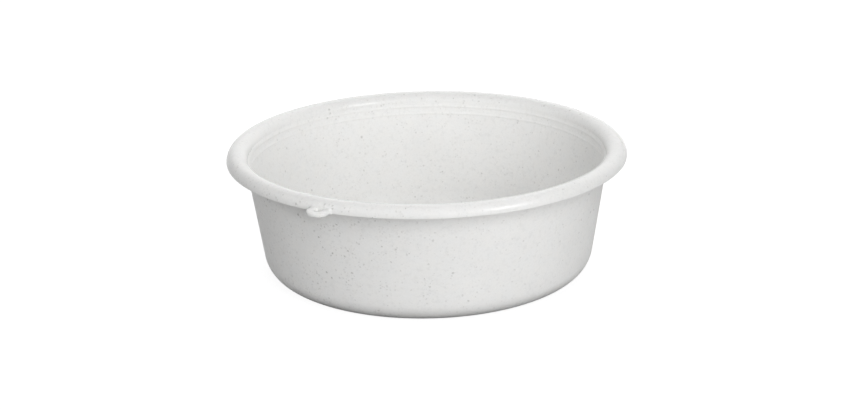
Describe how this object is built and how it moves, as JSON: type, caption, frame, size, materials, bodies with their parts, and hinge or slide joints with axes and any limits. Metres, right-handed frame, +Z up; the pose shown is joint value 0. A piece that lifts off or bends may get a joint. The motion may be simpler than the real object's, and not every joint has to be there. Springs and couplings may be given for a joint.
{
  "type": "plastic basin",
  "caption": "Round plastic household basin with a tapered wall, a half-round rim turned down into a lip, and an eye on the lip to hang it by.",
  "frame": {"origin": "middle of the flat underside, on the basin's axis, at the height of what it stands on", "axes": "+Z up along the basin's axis; the hanging eye points along -Y; +X is to the right of someone who faces the eye"},
  "size_m": [0.32, 0.3308, 0.1013],
  "materials": {
    "wall_plastic": "satin off-white moulding with fine grey-brown flecks",
    "rim_plastic": "the same moulding, glossier on its rim and eye"
  },
  "bodies": {
    "root": {"bowl": "wall_plastic", "rim": "rim_plastic", "hanging_eye": "rim_plastic"}
  },
  "joints": []
}
